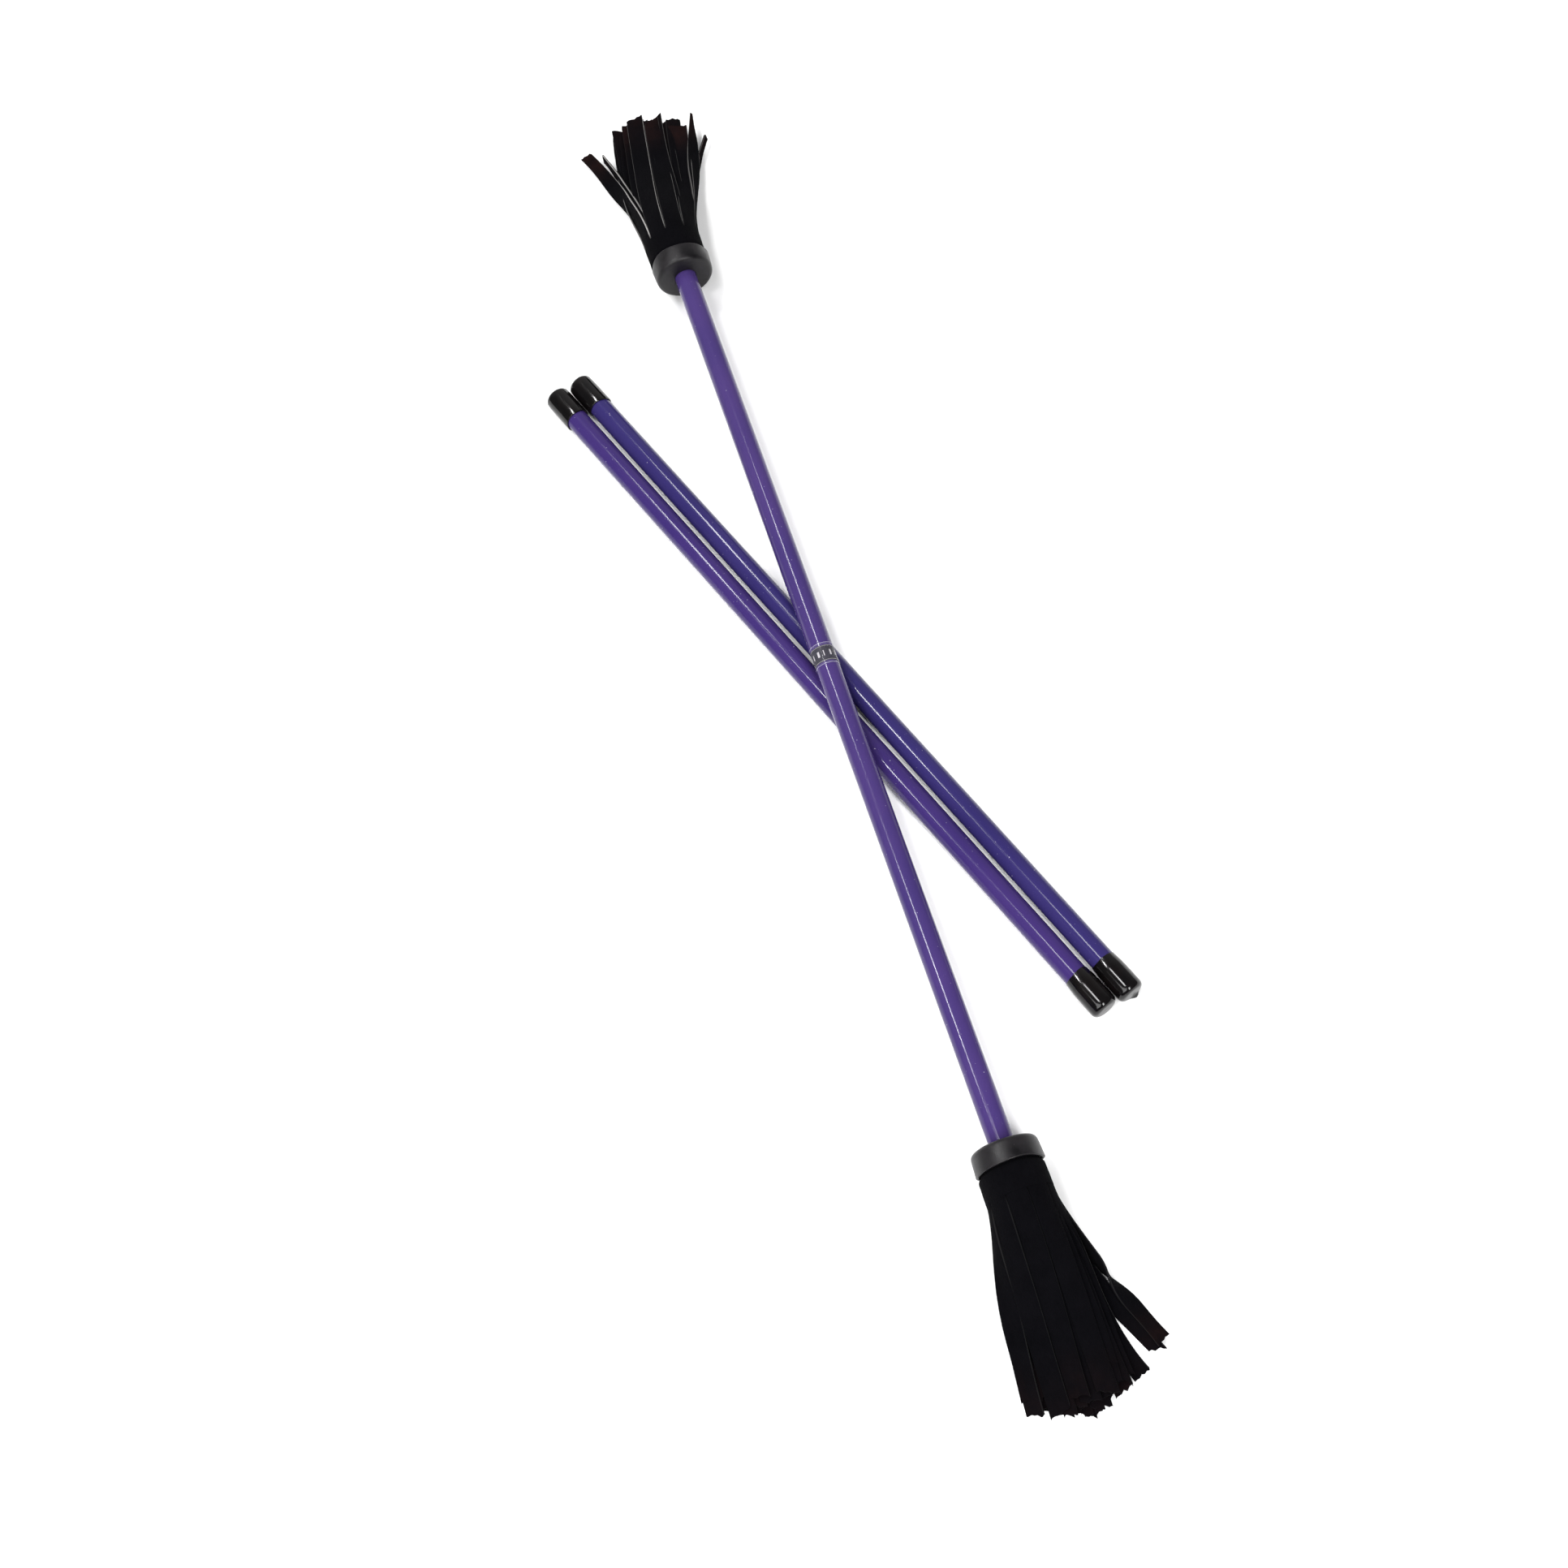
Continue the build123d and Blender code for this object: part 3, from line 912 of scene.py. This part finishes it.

# %% [markdown]
# The band and its strands are one piece of suede, so they go into one mesh, which stands for both
# CAD nodes of its end. It is given no body. The near tassel is worked out like the far
# one and then mirrored end for end, so its quads are turned round to keep facing outwards.

# %% Tassels as one mesh each
CREASE = math.radians(48)
for end, sign in END_SIGN.items():
    plan = TASSELS[end]
    band = band_points(plan["seam"])
    strands, cut_edge_and_painted_light, brown = strand_points(plan)
    band_world = band.reshape(-1, 3) + (0, 0, AXIS_Z)
    local = np.concatenate([band_world, strands.reshape(-1, 3)])
    points = np.stack([AXIS_X + local[:, 0], LIP_Y[end] + sign * local[:, 1], local[:, 2]], -1)
    band_quads = ribbon_quads(band.shape[0], band.shape[1])
    strand_quads = ribbon_quads(STRAND_ROWS, RING, STRANDS) + len(band_world)
    quads = np.concatenate([band_quads, strand_quads])
    if sign < 0:
        quads = quads[:, ::-1]
    masks = {
        # The pale cut edge with painted light on the left sides and painted shade on the right.
        "cut_edge_and_painted_light": np.concatenate([np.zeros(len(band_world)), cut_edge_and_painted_light.ravel()]),
        "tip": np.concatenate([np.zeros(len(band_world)), brown.ravel()]),
    }
    nodes = [end + "_roll", end + "_strands"]
    tassel = make_piece(end + "_tassel_suede", points, quads, None, nodes, masks)
    tassel.data.materials.append(suede_finish)
    tassel.data.set_sharp_from_angle(angle=CREASE)
    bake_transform(tassel)

# %% [markdown]
# The set lies on a plain pale floor. It is staging: it is there for the picture, and isn't a piece
# of the set.

# %% Floor
FLOOR_HALF, FLOOR_LINES = 4.0, 9
floor_mesh = bpy.data.meshes.new("studio_floor")
floor_line = np.linspace(-FLOOR_HALF, FLOOR_HALF, FLOOR_LINES)
floor_x, floor_y = np.meshgrid(floor_line, floor_line)
floor_points = np.stack([floor_x, floor_y, 0 * floor_x], -1).reshape(-1, 3)
floor_mesh.from_pydata(floor_points, [], grid_quads(FLOOR_LINES, FLOOR_LINES).tolist())
floor = bpy.data.objects.new("studio_floor", floor_mesh)
bpy.context.scene.collection.objects.link(floor)
floor_finish, floor_tree, floor_shader = start_material("pale_floor", 0.9, Specular_IOR_Level=0.1)
floor_shader.inputs["Base Color"].default_value = (0.93, 0.93, 0.93, 1)
floor_mesh.materials.append(floor_finish)
print("floor", len(floor_mesh.polygons), "faces")

# %% [markdown]
# Rods this glossy mirror each light as a line along their length, so every light is placed for the
# line that it draws. Two keys hang on the near side: a broad one, and a narrow one in line with
# the hand sticks, so that its light falls down the gap between them. Two tubes on the far side and
# a small lamp overhead draw the thin lines on rods and caps. A dim sky lifts the rest.

# %% Lights
scene = bpy.context.scene


def studio_sky(low, high):
    """A dim sky that is brighter towards the far side, where the rods' far ends mirror it."""
    world = bpy.data.worlds.new("studio")
    world.use_nodes = True
    tree = world.node_tree
    direction = add_node(tree, "ShaderNodeTexCoord").outputs["Generated"]
    far_side = add_node(tree, "ShaderNodeSeparateXYZ", Vector=direction).outputs["Y"]
    rise = add_node(tree, "ShaderNodeMapRange", Value=far_side)
    for key, value in {"From Min": 0.4, "From Max": 0.75, "To Min": low, "To Max": high}.items():
        rise.inputs[key].default_value = value
    tree.links.new(rise.outputs[0], tree.nodes["Background"].inputs["Strength"])
    tree.nodes["Background"].inputs["Color"].default_value = (1.0, 1.0, 1.0, 1)
    return world


def area_light(name, place, size, length, along, power):
    """A soft rectangular light that faces the set, with its length turned along a direction."""
    data = bpy.data.lights.new(name, "AREA")
    data.shape = "RECTANGLE"
    data.size = size
    data.size_y = length
    data.energy = power
    lamp = bpy.data.objects.new(name, data)
    back = Vector(place).normalized()
    side = Vector(along).cross(back).normalized()
    turned = Matrix((side, back.cross(side), back)).transposed().to_4x4()
    lamp.matrix_world = Matrix.Translation(place) @ turned
    scene.collection.objects.link(lamp)


scene.world = studio_sky(0.16, 0.6)
ALONG_HANDS, SLANTING = (0.342, -0.94, 0), (-1, -1, 0)
area_light("key_left", place=(-1.4, -1.2, 2.1), size=1.8, length=1.8, along=(1, 0, 0), power=54)
area_light("key_right", place=(0.633, -1.739, 2.1), size=0.5, length=2.0, along=ALONG_HANDS, power=66)
area_light("tube_far", place=(-0.38, 1.15, 2.0), size=0.14, length=0.55, along=SLANTING, power=14)
area_light("tube_middle", place=(-0.92, 0.55, 2.0), size=0.14, length=0.42, along=SLANTING, power=15)
area_light("lamp_near", place=(-0.49, 0.09, 2.0), size=0.3, length=0.3, along=(0, 1, 0), power=8)

# %% [markdown]
# The camera looks steeply down from the near end, a little to the left, and leans to one side, so
# that the rods cross the picture at a slant. Its direction comes from three angles.

# %% Camera
CAMERA_PLACE = (-0.0445, -0.4885, 0.9490)
AZIMUTH, ELEVATION, LEAN = math.radians(1.075), math.radians(-65.16), math.radians(-17.84)
LENS, SENSOR = 47.94, 36  # millimetres
ahead = Vector(
    (
        math.sin(AZIMUTH) * math.cos(ELEVATION),
        math.cos(AZIMUTH) * math.cos(ELEVATION),
        math.sin(ELEVATION),
    )
)
level_right = ahead.cross(Vector((0, 0, 1))).normalized()
level_up = level_right.cross(ahead)
right = level_right * math.cos(LEAN) + level_up * math.sin(LEAN)
up = level_up * math.cos(LEAN) - level_right * math.sin(LEAN)
camera_data = bpy.data.cameras.new("camera")
camera_data.lens = LENS
camera_data.sensor_width = SENSOR
camera = bpy.data.objects.new("camera", camera_data)
camera.matrix_world = Matrix.Translation(CAMERA_PLACE) @ Matrix((right, up, -ahead)).transposed().to_4x4()
scene.collection.objects.link(camera)
scene.camera = camera
scene.view_settings.view_transform = "Standard"
print("camera looks along", tuple(round(v, 4) for v in ahead))
